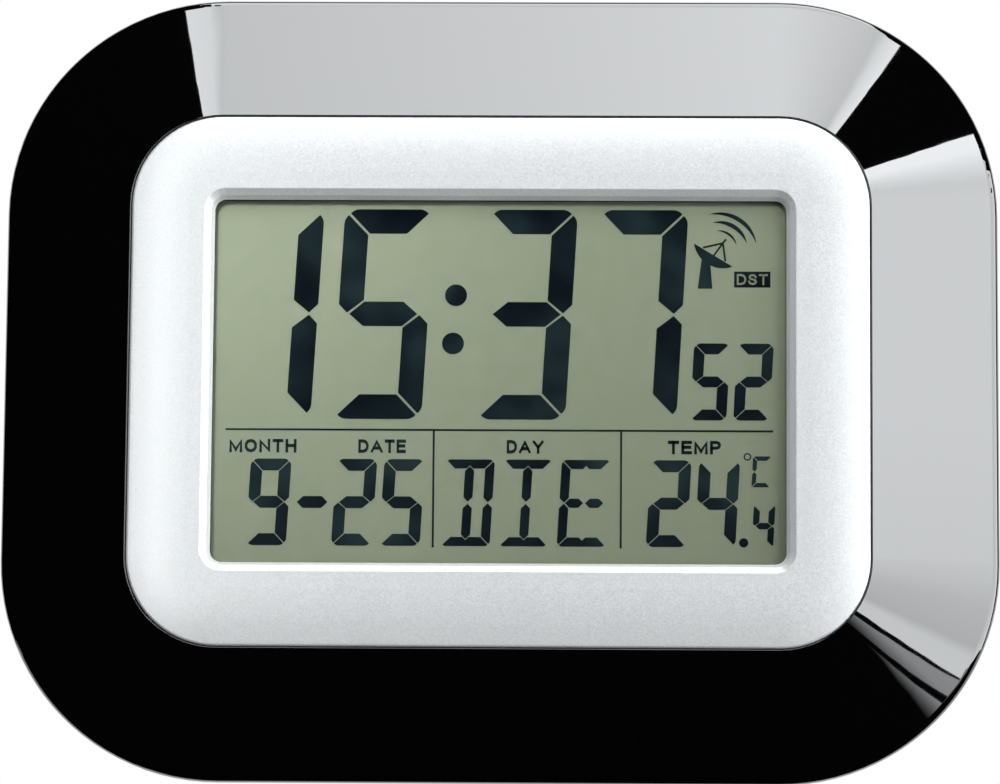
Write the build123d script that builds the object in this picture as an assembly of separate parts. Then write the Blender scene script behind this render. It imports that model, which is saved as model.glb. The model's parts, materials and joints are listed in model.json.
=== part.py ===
from build123d import *
import math
import os

# A radio-controlled wall clock with a liquid crystal display.
# X runs to the right as seen from the front, Z runs up, and the clock faces -Y with the wall at Y = 0.
# "front" and "back" distances are measured from the wall towards the viewer, in millimetres.
# Heights are measured from the middle of the clock. The finished pieces are moved down at the end,
# so that the origin lies on the wall in the mouth of the keyhole.

# Case outline and sloped gloss band
case_width = 262.0
case_height = 208.4
case_corner_radius = 57.9
band_width = 34.1
band_drop = 12.6
rim_wall_height = 4.7
rim_round = 3.0
band_inner_round = 0.25
shell_wall = 2.2
shelf_width = 7.8
shelf_thickness = 2.0

# Silver bezel
bezel_gap = 0.25
bezel_step = 0.2
bezel_skirt = 2.6
bezel_wall = 2.2
bezel_edge_round = 0.8
crown_drop = 1.8
crown_margin = 1.0
crown_width_share = 0.7
crown_arc_share = 0.85

# Window in the bezel, with a chamfer above a sloping wall
window_side_border = 21.75
window_end_border = 21.95
window_corner_radius = 3.0
window_depth = 3.4
window_chamfer = 1.6
window_wall_lean = 0.9
window_edge_round = 0.5
window_lip = 4.5

# Display stack
lens_margin = 3.2
lens_thickness = 1.2
gasket_thickness = 0.4
gasket_width = 2.6
film_margin = 2.6
film_thickness = 0.2
glass_margin = 4.0
glass_corner_radius = 1.1
glass_thickness = 0.8
glass_ledge = 2.8
liquid_gap = 0.1
seal_inset = 0.8
seal_width = 1.4
reflector_thickness = 0.3
holder_plate = 1.8
holder_wall = 1.6
holder_clearance = 0.3
holder_ear_inset = 24.9
holder_ear_radius = 3.6
holder_boss_radius = 3.2
zebra_thickness = 1.8

# Digits and signs on the display: places and widths are shares of the window's width, heights of its height
digit_slant_share = 0.0553
corner_round_share = 0.7
corner_cut_angle = 45.0
digit_node_share = 0.35
letter_node_share = 0.5
notch_share = 0.35

# Width, height, bar and gap of each kind of digit or letter
time_digit_shares = (0.1575, 0.5814, 0.0434, 0.004)
second_digit_shares = (0.0634, 0.2119, 0.019, 0.0015)
date_digit_shares = (0.0708, 0.2375, 0.0208, 0.0016)
weekday_letter_shares = (0.0859, 0.2375, 0.0159, 0.0018)
tenth_digit_shares = (0.0374, 0.1169, 0.011, 0.0013)
unit_letter_shares = (0.0325, 0.0846, 0.0075, 0.0013)

# Time and seconds
time_center_share = (-0.0788, 0.1889)
time_pitch_share = 0.1936
colon_pitch_share = 0.251
colon_dot_share = 0.0192
colon_spacing_share = 0.1336
colon_drop_share = 0.0146
second_left_share = (0.3678, 0.0042)
second_pitch_share = 0.0754

# Row under the rule, with the date, the weekday and the temperature
row_height_share = -0.3309
month_share = -0.4005
date_left_share = -0.251
date_right_share = -0.1676
dash_share = -0.3244
dash_length_share = 0.0534
letter_left_share = -0.0536
letter_pitch_share = 0.1013
temperature_left_share = 0.2961
temperature_right_share = 0.3805
point_share = 0.4262
point_radius_share = 0.008
tenth_share = 0.4606
unit_letter_share = 0.4573
degree_share = 0.4326
degree_radius_share = 0.0067
degree_bar_share = 0.0023

# Rules, dish sign and the plate of the small legend
rule_thickness_share = 0.0033
rule_span_share = 0.9546
rule_height_share = -0.1315
rule_foot_share = -0.4541
upright_rule_shares = (-0.1135, 0.213)
icon_corner_share = (0.3391, 0.262)
icon_size_share = (0.1095, 0.2119)
icon_line_share = 0.0033
plate_center_share = (0.4409, 0.2876)
plate_size_share = (0.0634, 0.0438)

# Shares of the dish sign's box, across and up
mast_shares = [(0.06, 0.0), (0.293, 0.0), (0.262, 0.303), (0.128, 0.42)]
bowl_shares = [(0.0, 0.59), (0.186, 0.34), (0.616, 0.288)]
feed_shares = [(0.144, 0.537), (0.313, 0.432), (0.5, 0.358), (0.512, 0.648)]
feed_apex_share = (0.46, 0.597)
wave_shares = [
    [(0.24, 0.974), (0.768, 0.91), (0.994, 0.59), (0.726, 0.868)],
    [(0.296, 0.867), (0.677, 0.823), (0.841, 0.599), (0.634, 0.782)],
    [(0.366, 0.762), (0.579, 0.718), (0.677, 0.573), (0.552, 0.698)],
]

# Main board
board_width = 114.0
board_height = 48.0
board_thickness = 1.6
board_corner_radius = 1.5
board_gap = 1.0
board_standoff = 0.8
board_screw_inset = 5.0
board_screw_rise = 10.0
board_side_inset = 1.0
board_top_rise = 1.0
post_radius = 3.0
chip_size = 12.0
chip_height = 1.8
chip_round = 0.5
crystal_radius = 1.5
crystal_length = 8.0
capacitor_radius = 3.2
capacitor_height = 7.0
module_width = 20.0
module_height = 12.0
module_thickness = 1.0
module_chip_size = 5.0
module_chip_height = 1.2
part_margin = 4.0

# Key switches and buttons
button_pitch = 13.0
button_radius = 4.0
button_hole_gap = 0.3
button_round = 0.6
button_flange = 1.2
button_flange_thickness = 1.0
button_proud = 1.3
button_stem_radius = 1.9
button_row_rise = 0.4
reset_drop = 12.5
reset_radius = 1.0
reset_recess = 0.8
dish_depth = 1.8
dish_margin = 3.0
dish_corner_radius = 5.0
switch_size = 6.0
switch_height = 3.6
switch_floor = 0.7
plunger_radius = 1.7
plunger_reach = 3.4
plunger_gap = 0.2
button_travel = 0.4

# Antenna and temperature sensor
rod_radius = 4.0
rod_side_gap = 11.0
rod_stand_gap = 10.4
rod_rise = 23.5
coil_thickness = 2.0
coil_end_gap = 7.0
coil_floor_gap = 0.6
fit_gap = 0.05
bracket_width = 6.0
bracket_wall = 2.0
bracket_inset = 8.0
antenna_lead_radius = 0.4
antenna_lead_pitch = 4.0
sensor_radius = 1.8
sensor_leg_radius = 0.3
sensor_drop = 9.0
sensor_back = 4.0

# Rear cover
cover_gap = 0.3
flange_recess = 0.2
flange_thickness = 2.0
tray_inset = 22.7
tray_round = 2.5
cover_wall = 2.0
vent_count = 6
vent_width = 1.6
vent_length = 13.0
vent_pitch = 4.0
vent_side_inset = 32.0
vent_center_height = -8.0

# Keyhole for the wall screw
keyhole_drop = 21.5
keyhole_radius = 4.5
keyhole_slot_width = 4.6
keyhole_slot_length = 9.0

# Screws
case_screw_inset = 12.5
case_screw_spread = 45.0
case_boss_radius = 3.4
case_screw_radius = 1.25
case_screw_head_radius = 2.7
case_screw_head = 1.6
case_screw_bite = 4.4
small_screw_radius = 0.9
small_screw_head_radius = 1.9
small_screw_head = 1.2
small_screw_tip_gap = 0.4
screw_hole_gap = 0.4
pilot_gap = 0.05
recess_bar = 0.6
recess_depth_share = 0.6
recess_reach_share = 1.3

# Battery bay, cells and door
cell_diameter = 14.2
cell_length = 50.2
cell_round = 0.6
cell_cap_radius = 2.75
cell_cap_length = 1.2
cell_gap = 0.4
bay_height = -14.0
bay_wall = 1.6
contact_thickness = 0.4
contact_half = 5.0
contact_spring = 4.2
contact_spring_width = 6.0
contact_nose = 1.0
tab_width = 3.0
tab_reach = 3.0
tab_gap = 0.3
door_thickness = 2.0
door_gap = 0.3
door_tongue = 1.2
door_tongue_thickness = 1.0
door_overlap = 2.0
door_lip_depth = 7.0
door_lip_thickness = 1.8
rail_thickness = 1.5
rail_width = 3.0
grip_count = 5
grip_width = 1.0
grip_depth = 0.5
grip_length = 18.0
grip_pitch = 2.2
grip_inset = 5.0
lead_radius = 0.6
lead_bend = 3.0
lead_spacing = 6.0
lead_run = 8.0

# Fold-out stand
stand_width = 44.0
stand_foot_width = 34.0
stand_thickness = 3.2
stand_back_gap = 0.4
stand_hinge_drop = 73.5
stand_side_gap = 0.6
stand_corner_radius = 3.0
stand_recess_depth = 4.8
stand_rib = 0.8
stand_rib_width = 2.0
stand_rib_inset = 6.0
barrel_radius = 2.0
barrel_gap = 0.6
pin_radius = 1.0
pin_fit = 0.02
pin_running_gap = 0.08
pin_bite = 3.0
cheek_wall = 5.0
foot_rise = 3.0
pad_height = 1.8

# Every cut runs past the surface that it opens by this much
overrun = 1.0

# Distances ahead of the wall, built up from the back
cell_axis_front = door_thickness + cell_gap + cell_diameter / 2
bay_floor_back = door_thickness + cell_diameter + 2 * cell_gap
bay_floor_front = bay_floor_back + bay_wall
board_back = bay_floor_front + board_gap
board_front = board_back + board_thickness
holder_back = board_front + board_standoff
holder_front = holder_back + holder_plate
reflector_front = holder_front + reflector_thickness
rear_glass_front = reflector_front + glass_thickness
liquid_front = rear_glass_front + liquid_gap
front_glass_front = liquid_front + glass_thickness
film_front = front_glass_front + film_thickness
gasket_front = film_front + gasket_thickness
lens_front = gasket_front + lens_thickness
ridge_front = lens_front + window_depth
bezel_edge_front = ridge_front - crown_drop
band_inner_front = bezel_edge_front - bezel_step
shelf_front = bezel_edge_front - bezel_skirt
shelf_back = shelf_front - shelf_thickness
rim_front = band_inner_front - band_drop
rim_back = rim_front - rim_wall_height
flange_back = rim_back + flange_recess
flange_front = flange_back + flange_thickness

# Outlines that several pieces share
band_slope_share = band_drop / band_width
bezel_inset = band_width + bezel_gap
bezel_width = case_width - 2 * bezel_inset
bezel_height = case_height - 2 * bezel_inset
bezel_corner_radius = case_corner_radius - bezel_inset
window_width = bezel_width - 2 * window_side_border
window_height = bezel_height - 2 * window_end_border
glass_width = window_width + 2 * glass_margin
glass_height = window_height + 2 * glass_margin
front_glass_center = glass_ledge / 2
holder_width = glass_width + 2 * (holder_clearance + holder_wall)
holder_height = glass_height + glass_ledge + 2 * (holder_clearance + holder_wall)
holder_ear_x = case_width / 2 - band_width - shelf_width / 2
holder_ear_height = bezel_height / 2 - holder_ear_inset
tray_width = case_width - 2 * tray_inset
tray_height = case_height - 2 * tray_inset
tray_corner_radius = case_corner_radius - tray_inset
board_center_x = board_side_inset + board_width / 2 - holder_width / 2
board_center_height = front_glass_center + holder_height / 2 + board_top_rise - board_height / 2
zebra_height = glass_height / 2 + glass_ledge / 2
zebra_length = board_width - 2 * part_margin
switch_back = board_back - switch_height
plunger_back = switch_back - plunger_reach
bay_width = 2 * cell_diameter + 3 * cell_gap
bay_end_x = tray_width / 2 - cover_wall
bay_start_x = bay_end_x - cell_length - contact_spring - 2 * contact_thickness
cell_offset = (cell_diameter + cell_gap) / 2
door_half = bay_width / 2 + bay_wall
door_start_x = bay_start_x - bay_wall - door_overlap
stand_hinge_front = stand_back_gap + barrel_radius
stand_foot_height = foot_rise + pad_height - case_height / 2
stand_recess_half = stand_width / 2 + stand_side_gap
stand_hinge_height = tray_height / 2 - stand_hinge_drop
rod_front = cover_wall + coil_floor_gap + rod_radius + coil_thickness
rod_left_x = rod_side_gap - tray_width / 2
rod_right_x = -stand_recess_half - cover_wall - rod_stand_gap
rod_center_x = (rod_left_x + rod_right_x) / 2
rod_center_height = rod_rise - tray_height / 2
coil_half = (rod_right_x - rod_left_x) / 2 - bracket_inset - bracket_width / 2 - coil_end_gap
vent_center_x = vent_side_inset - tray_width / 2
keyhole_height = tray_height / 2 - keyhole_drop
button_row_height = board_center_height + button_row_rise
dish_height = 2 * (button_radius + dish_margin)
dish_width = dish_height + 4 * button_pitch


def level(front):
    """Plane parallel to the wall, facing the viewer."""
    return Plane.XZ.offset(front)


def slab(outline, back, front):
    """Solid of a flat outline, drawn as seen from the front, between two distances ahead of the wall."""
    return extrude(level(back) * outline, front - back)


def post(x, height, radius, back, front):
    """Round post that points at the viewer."""
    return slab(Pos(x, height) * Circle(radius), back, front)


def block(left, right, bottom, top, back, front):
    """Square-cornered block given by its six sides."""
    middle = Pos((left + right) / 2, (bottom + top) / 2)
    return slab(middle * Rectangle(right - left, top - bottom), back, front)


def rod(left, right, height, front, radius):
    """Round rod along X."""
    disc = Plane.YZ.offset(left) * Pos(-front, height) * Circle(radius)
    return extrude(disc, right - left)


def group(shapes):
    """Separate solids kept as one piece."""
    return Compound([solid for shape in shapes for solid in shape.solids()])


def rounded_face(corners):
    """Face inside a polygon whose corners are (across, up, rounding radius)."""
    edges = []
    stops = []
    for index, (across, up, radius) in enumerate(corners):
        here = Vector(across, up)
        before = (Vector(*corners[index - 1][:2]) - here).normalized()
        after = (Vector(*corners[(index + 1) % len(corners)][:2]) - here).normalized()
        if radius == 0:
            stops.append((here, here))
            continue
        half_angle = math.radians(before.get_angle(after)) / 2
        tangent = radius / math.tan(half_angle)
        bisector = (before + after).normalized()
        crest = here + bisector * (radius / math.sin(half_angle) - radius)
        stops.append((here + before * tangent, here + after * tangent))
        edges.append(ThreePointArc(stops[-1][0], crest, stops[-1][1]))
    for index, stop in enumerate(stops):
        edges.append(Line(stops[index - 1][1], stop[0]))
    return make_face(edges)


def ring_band(profile, width, height, radius):
    """Ring whose section, drawn as (inset, front), runs round a rounded rectangle."""
    side_reach = width / 2 - radius
    top_reach = height / 2 - radius
    side_plane = Plane(origin=(width / 2, 0, 0), x_dir=(-1, 0, 0), z_dir=(0, 0, 1))
    top_plane = Plane(origin=(0, 0, height / 2), x_dir=(0, 0, -1), z_dir=(-1, 0, 0))
    corner_axis = Axis((side_reach, 0, top_reach), (0, -1, 0))
    side = extrude(side_plane * profile, top_reach)
    top = extrude(top_plane * profile, -side_reach)
    corner = revolve(Pos(0, 0, top_reach) * (side_plane * profile), corner_axis, 90)
    quarter = side + corner + top
    half = quarter + mirror(quarter, Plane.YZ)
    return half + mirror(half, Plane.XY)


def framed(width, height, radius, border):
    """Flat frame of even border inside a rounded rectangle."""
    inner_radius = max(radius - border, border / 4)
    return RectangleRounded(width, height, radius) - RectangleRounded(
        width - 2 * border, height - 2 * border, inner_radius
    )


def screw(x, height, seat, head_radius, head, radius, length):
    """Cross-head screw driven from the back, with its head behind the seat."""
    body = post(x, height, head_radius, seat - head, seat) + post(x, height, radius, seat, seat + length)
    reach = head_radius * recess_reach_share
    cross = Rectangle(reach, recess_bar) + Rectangle(recess_bar, reach)
    cut_front = seat - head + head * recess_depth_share
    return body - slab(Pos(x, height) * cross, seat - head - overrun, cut_front)


def lead(points, radius):
    """Wire along straight runs with rounded bends, through (x, front, height) points."""
    path = FilletPolyline([(x, -front, height) for x, front, height in points], radius=lead_bend)
    start = Plane(origin=path @ 0, z_dir=path % 0)
    return sweep(start * Circle(radius), path)


def band_front(inset, depth):
    """Distance ahead of the wall of a line that lies under the band by a depth."""
    lean = math.hypot(1, band_slope_share)
    return rim_front + inset * band_slope_share - depth * lean


def case_screw_places():
    """Middle of each case screw, round the flange."""
    reach = (case_corner_radius - case_screw_inset) / math.sqrt(2)
    corner_x = case_width / 2 - case_corner_radius + reach
    corner_height = case_height / 2 - case_corner_radius + reach
    edge_height = case_height / 2 - case_screw_inset
    quarter = [(corner_x, corner_height), (case_screw_spread, edge_height)]
    return [(side * x, end * height) for x, height in quarter for side in (-1, 1) for end in (-1, 1)]


def holder_ear_places():
    """Middle of each screw that holds the display holder to the frame."""
    return [(side * holder_ear_x, end * holder_ear_height) for side in (-1, 1) for end in (-1, 1)]


def board_screw_places():
    """Middle of each screw that holds the board to the display holder."""
    reach_x = board_width / 2 - board_screw_inset
    reach_height = board_height / 2 - board_screw_rise
    return [
        (board_center_x + side * reach_x, board_center_height + end * reach_height)
        for side in (-1, 1)
        for end in (-1, 1)
    ]


def button_places():
    """Name and middle of each button, the reset pin last."""
    row_x = board_center_x - board_width / 2 + 2 * (part_margin + button_pitch)
    names = ["signal", "unit", "down", "up", "set"]
    row = [(name, row_x + (index - 2) * button_pitch, button_row_height) for index, name in enumerate(names)]
    return row + [("reset", row_x, button_row_height - reset_drop)]


def make_front_frame():
    """Sloped gloss ring with a shelf for the bezel and bosses for the screws."""
    shelf_inset = band_width + shelf_width
    step = band_width - shell_wall
    profile = rounded_face([
        (0, rim_back, 0),
        (0, rim_front, rim_round),
        (band_width, band_inner_front, band_inner_round),
        (band_width, shelf_front, 0),
        (shelf_inset, shelf_front, 0),
        (shelf_inset, shelf_back, 0),
        (step, shelf_back, 0),
        (step, band_front(step, shell_wall), 0),
        (shell_wall, band_front(shell_wall, shell_wall), 0),
        (shell_wall, rim_back, 0),
    ])
    frame = ring_band(profile, case_width, case_height, case_corner_radius)
    middle = shell_wall / 2
    boss_room = rounded_face([
        (middle, flange_front, 0),
        (middle, band_front(middle, middle), 0),
        (step, band_front(step, middle), 0),
        (step, flange_front, 0),
    ])
    room = ring_band(boss_room, case_width, case_height, case_corner_radius)
    for x, height in case_screw_places():
        frame += post(x, height, case_boss_radius, flange_front, shelf_front) & room
    for x, height in holder_ear_places():
        frame += post(x, height, holder_boss_radius, holder_front, shelf_back + shelf_thickness / 2)
    for x, height in case_screw_places():
        hole_front = flange_front + case_screw_bite + small_screw_tip_gap
        frame -= post(x, height, case_screw_radius + pilot_gap, flange_front - overrun, hole_front)
    for x, height in holder_ear_places():
        hole_front = shelf_front - shelf_thickness / 4
        frame -= post(x, height, small_screw_radius + pilot_gap, holder_front - overrun, hole_front)
    return frame


def make_silver_bezel():
    """Crowned plate with a chamfered window, seated on the frame's shelf."""
    crown_room = min(window_side_border, window_end_border) - window_lip - crown_margin
    crown_width = min(bezel_corner_radius * crown_width_share, crown_room)
    half_crown = crown_width / 2
    bend = math.pi - math.atan2(crown_drop, half_crown)
    crown_radius = half_crown * crown_arc_share * math.tan(bend / 2)
    crown = rounded_face([
        (0, shelf_front, 0),
        (0, bezel_edge_front, bezel_edge_round),
        (half_crown, ridge_front, crown_radius),
        (crown_width, ridge_front, 0),
        (crown_width, ridge_front - bezel_wall, 0),
        (bezel_wall, bezel_edge_front - bezel_wall, 0),
        (bezel_wall, shelf_front, 0),
    ])
    chamfer_inset = window_lip - window_wall_lean
    lip = rounded_face([
        (0, lens_front, 0),
        (0, ridge_front, 0),
        (chamfer_inset - window_chamfer, ridge_front, window_edge_round),
        (chamfer_inset, ridge_front - window_chamfer, 0),
        (window_lip, lens_front, 0),
    ])
    lip_size = (
        window_width + 2 * window_lip,
        window_height + 2 * window_lip,
        window_corner_radius + window_lip,
    )
    plate = RectangleRounded(
        bezel_width - 2 * crown_width, bezel_height - 2 * crown_width, bezel_corner_radius - crown_width
    ) - RectangleRounded(*lip_size)
    bezel = ring_band(crown, bezel_width, bezel_height, bezel_corner_radius)
    bezel += slab(plate, ridge_front - bezel_wall, ridge_front)
    return bezel + ring_band(lip, *lip_size)


def lens_size():
    """Width, height and corner radius of the lens."""
    return (
        window_width + 2 * lens_margin,
        window_height + 2 * lens_margin,
        window_corner_radius + lens_margin,
    )


def make_display_stack():
    """Lens, gasket, films and glasses of the display, from front to back."""
    film = Rectangle(window_width + 2 * film_margin, window_height + 2 * film_margin)
    rear_glass = RectangleRounded(glass_width, glass_height, glass_corner_radius)
    front_glass = Pos(0, front_glass_center) * RectangleRounded(
        glass_width, glass_height + glass_ledge, glass_corner_radius
    )
    grow = 2 * gasket_width
    gasket = framed(window_width + grow, window_height + grow, window_corner_radius, gasket_width)
    seal_cut = 2 * seal_inset
    seal = framed(glass_width - seal_cut, glass_height - seal_cut, glass_corner_radius, seal_width)
    return {
        "display_lens": slab(RectangleRounded(*lens_size()), gasket_front, lens_front),
        "lens_gasket": slab(gasket, film_front, gasket_front),
        "lcd_front_polariser": slab(film, front_glass_front, film_front),
        "lcd_front_glass": slab(front_glass, liquid_front, front_glass_front),
        "lcd_edge_seal": slab(seal, rear_glass_front, liquid_front),
        "lcd_rear_glass": slab(rear_glass, reflector_front, rear_glass_front),
        "lcd_reflector": slab(film, holder_front, reflector_front),
    }


def mirrored(corners, across, up):
    """Corners of a segment reflected left to right or top to bottom."""
    return [(x * across, y * up, radius) for x, y, radius in corners]


def digit_segments(width, height, bar, gap, node_share):
    """Corners of the seven segments of a digit about its middle."""
    side = width / 2
    top = height / 2
    node = bar * node_share
    cut = gap / math.sqrt(2)
    corner = bar * corner_round_share
    turn_share = math.tan(math.radians(corner_cut_angle) / 2)
    bend = corner - corner * turn_share
    bow = corner - gap / turn_share
    knee = corner - corner / math.sqrt(2)
    cap = [
        (bend - side, top, bow),
        (side - bend, top, bow),
        (side - knee - cut / 2, top - knee + cut / 2, 0),
        (side - bar - cut, top - bar, 0),
        (cut + bar - side, top - bar, 0),
        (knee + cut / 2 - side, top - knee + cut / 2, 0),
    ]
    upright = [
        (side - knee + cut / 2, top - knee - cut / 2, 0),
        (side, top - bend, bow),
        (side, gap / 2 + node, 0),
        (side - node, gap / 2, 0),
        (side - bar, bar / 2 + cut, 0),
        (side - bar, top - bar - cut, 0),
    ]
    shoulder = side - bar - gap / 3
    middle = [
        (side - node - gap, 0, 0),
        (shoulder, bar / 2, 0),
        (-shoulder, bar / 2, 0),
        (node + gap - side, 0, 0),
        (-shoulder, -bar / 2, 0),
        (shoulder, -bar / 2, 0),
    ]
    return {
        "a": cap,
        "b": upright,
        "c": mirrored(upright, 1, -1),
        "d": mirrored(cap, 1, -1),
        "e": mirrored(upright, -1, -1),
        "f": mirrored(upright, -1, 1),
        "g": middle,
    }


def letter_segments(width, height, bar, gap):
    """Corners of a letter's segments: those of a digit, a split middle bar and two middle uprights."""
    segments = digit_segments(width, height, bar, gap, letter_node_share)
    side = width / 2
    top = height / 2
    half = bar / 2
    notch = bar * notch_share
    outer_left, outer_right, right_knee, inner_right, inner_left, left_knee = segments["a"]
    segments["a"] = [
        outer_left,
        outer_right,
        right_knee,
        inner_right,
        (notch, top - bar, 0),
        (0, top - bar + notch, 0),
        (-notch, top - bar, 0),
        inner_left,
        left_knee,
    ]
    segments["d"] = mirrored(segments["a"], 1, -1)
    crest = top - bar + notch - gap
    segments["i"] = [
        (half, half + gap, 0),
        (half, crest - half, 0),
        (0, crest, 0),
        (-half, crest - half, 0),
        (-half, half + gap, 0),
        (0, gap, 0),
    ]
    segments["l"] = mirrored(segments["i"], 1, -1)
    reach = side - half - gap
    segments["h"] = [
        (gap, 0, 0),
        (gap + half, half, 0),
        (reach - half, half, 0),
        (reach, 0, 0),
        (reach - half, -half, 0),
        (gap + half, -half, 0),
    ]
    segments["g"] = mirrored(segments["h"], -1, 1)
    return segments


def lit_shape(segments, lit, x, height):
    """Lit segments of one digit or letter, leaned over and set in place as thin solids."""
    solids = []
    for name in lit:
        leaned = [
            (x + aside + up * digit_slant_share, height + up, radius) for aside, up, radius in segments[name]
        ]
        solids.append(slab(rounded_face(leaned), rear_glass_front, liquid_front))
    return solids


def ink(outline):
    """Thin solid of a sign between the two glasses."""
    return slab(outline, rear_glass_front, liquid_front)


def across(share):
    """Length across the display."""
    return window_width * share


def upward(share):
    """Height on the display."""
    return window_height * share


def sized(shares):
    """Width, height, bar and gap of a kind of digit or letter."""
    width, height, bar, gap = shares
    return across(width), upward(height), across(bar), across(gap)


def make_time_segments():
    """Hours and minutes with the colon."""
    digit = digit_segments(*sized(time_digit_shares), digit_node_share)
    center_x = across(time_center_share[0])
    center_height = upward(time_center_share[1])
    inner_x = across(colon_pitch_share) / 2
    outer_x = inner_x + across(time_pitch_share)
    places = [(-outer_x, "bc"), (-inner_x, "afgcd"), (inner_x, "abgcd"), (outer_x, "abc")]
    solids = []
    for x, lit in places:
        solids += lit_shape(digit, lit, center_x + x, center_height)
    for end in (-1, 1):
        up = end * upward(colon_spacing_share) / 2 - upward(colon_drop_share)
        dot = Pos(center_x + up * digit_slant_share, center_height + up) * Circle(across(colon_dot_share))
        solids.append(ink(dot))
    return group(solids)


def make_second_segments():
    """Two small digits for the seconds."""
    digit = digit_segments(*sized(second_digit_shares), digit_node_share)
    left_x = across(second_left_share[0])
    height = upward(second_left_share[1])
    solids = lit_shape(digit, "afgcd", left_x, height)
    solids += lit_shape(digit, "abged", left_x + across(second_pitch_share), height)
    return group(solids)


def make_date_segments():
    """Month, dash and day of the month."""
    digit = digit_segments(*sized(date_digit_shares), digit_node_share)
    height = upward(row_height_share)
    solids = lit_shape(digit, "abcdfg", across(month_share), height)
    solids += lit_shape(digit, "abged", across(date_left_share), height)
    solids += lit_shape(digit, "afgcd", across(date_right_share), height)
    half = sized(date_digit_shares)[2] / 2
    reach = across(dash_length_share) / 2
    dash = [
        (reach, 0, 0),
        (reach - half, half, 0),
        (half - reach, half, 0),
        (-reach, 0, 0),
        (half - reach, -half, 0),
        (reach - half, -half, 0),
    ]
    return group(solids + lit_shape({"dash": dash}, ["dash"], across(dash_share), height))


def make_weekday_segments():
    """Three letters for the day of the week."""
    letter = letter_segments(*sized(weekday_letter_shares))
    solids = []
    for index, lit in enumerate(["abcdil", "adil", "adefgh"]):
        x = across(letter_left_share + index * letter_pitch_share)
        solids += lit_shape(letter, lit, x, upward(row_height_share))
    return group(solids)


def make_temperature_segments():
    """Temperature with its decimal, degree ring and unit letter."""
    digit = digit_segments(*sized(date_digit_shares), digit_node_share)
    tenth = digit_segments(*sized(tenth_digit_shares), digit_node_share)
    letter = digit_segments(*sized(unit_letter_shares), letter_node_share)
    row_height = upward(row_height_share)
    base = row_height - sized(date_digit_shares)[1] / 2
    crest = row_height + sized(date_digit_shares)[1] / 2
    tenth_height = base + sized(tenth_digit_shares)[1] / 2
    letter_height = crest + sized(unit_letter_shares)[2] - sized(unit_letter_shares)[1] / 2
    solids = lit_shape(digit, "abged", across(temperature_left_share), row_height)
    solids += lit_shape(digit, "bcfg", across(temperature_right_share), row_height)
    solids += lit_shape(tenth, "bcfg", across(tenth_share), tenth_height)
    solids += lit_shape(letter, "adef", across(unit_letter_share), letter_height)
    point_radius = across(point_radius_share)
    point = Pos(across(point_share), base + point_radius) * Circle(point_radius)
    ring_radius = across(degree_radius_share)
    ring = Circle(ring_radius) - Circle(ring_radius - across(degree_bar_share))
    return group(solids + [ink(point), ink(Pos(across(degree_share), crest + ring_radius) * ring)])


def icon_point(share):
    """Point of the dish sign from its shares of the sign's box."""
    x = icon_corner_share[0] + share[0] * icon_size_share[0]
    height = icon_corner_share[1] + share[1] * icon_size_share[1]
    return Vector(across(x), upward(height))


def icon_bar(start, end):
    """Thin straight bar of the dish sign."""
    run = end - start
    middle = (start + end) / 2
    turn = math.degrees(math.atan2(run.Y, run.X))
    return Pos(middle.X, middle.Y) * Rot(0, 0, turn) * Rectangle(run.length, across(icon_line_share))


def make_display_symbols():
    """Rules between the fields, the dish sign with its waves, and the plate of the small legend."""
    thickness = across(rule_thickness_share)
    rule_height = upward(rule_height_share)
    drop = rule_height - upward(rule_foot_share)
    rules = Pos(0, rule_height) * Rectangle(across(rule_span_share), thickness)
    for share in upright_rule_shares:
        rules += Pos(across(share), rule_height - drop / 2) * Rectangle(thickness, drop)
    mast = [(icon_point(share).X, icon_point(share).Y, 0) for share in mast_shares]
    bowl = [icon_point(share) for share in bowl_shares]
    apex = icon_point(feed_apex_share)
    dish = rounded_face(mast) + make_face([ThreePointArc(*bowl), Line(bowl[2], bowl[0])])
    for share in feed_shares:
        dish += icon_bar(apex, icon_point(share))
    solids = [ink(rules), ink(dish)]
    for shares in wave_shares:
        start, outer, end, inner = [icon_point(share) for share in shares]
        wave = make_face([ThreePointArc(start, outer, end), ThreePointArc(end, inner, start)])
        solids.append(ink(wave))
    plate = Rectangle(across(plate_size_share[0]), upward(plate_size_share[1]))
    plate_place = Pos(across(plate_center_share[0]), upward(plate_center_share[1]))
    return group(solids + [ink(plate_place * plate)])


def make_lcd_holder():
    """Tray behind the display with ears for the frame and posts for the board."""
    middle = Pos(0, front_glass_center)
    outline = middle * RectangleRounded(holder_width, holder_height, glass_corner_radius + holder_wall)
    pocket = middle * Rectangle(holder_width - 2 * holder_wall, holder_height - 2 * holder_wall)
    plate = outline
    for x, height in holder_ear_places():
        tab = Pos(x / 2, height) * Rectangle(abs(x), 2 * holder_ear_radius)
        plate += tab + Pos(x, height) * Circle(holder_ear_radius)
    holder = slab(plate, holder_back, holder_front)
    holder += slab(outline - pocket, holder_front, front_glass_front)
    for x, height in board_screw_places():
        holder += post(x, height, post_radius, board_front, holder_back + holder_plate / 2)
    for x, height in board_screw_places():
        hole_front = holder_front - holder_plate / 4
        holder -= post(x, height, small_screw_radius + pilot_gap, board_front - overrun, hole_front)
    for x, height in holder_ear_places():
        hole_radius = small_screw_radius + screw_hole_gap
        holder -= post(x, height, hole_radius, holder_back - overrun, holder_front + overrun)
    slot = Pos(board_center_x, zebra_height) * Rectangle(
        zebra_length + 2 * holder_clearance, zebra_thickness + 2 * holder_clearance
    )
    return holder - slab(slot, holder_back - overrun, holder_front + overrun)


def make_holder_screws():
    """Screws from the display holder into the frame."""
    length = shelf_front - shelf_thickness / 4 - small_screw_tip_gap - holder_back
    return group([
        screw(x, height, holder_back, small_screw_head_radius, small_screw_head, small_screw_radius, length)
        for x, height in holder_ear_places()
    ])


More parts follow.
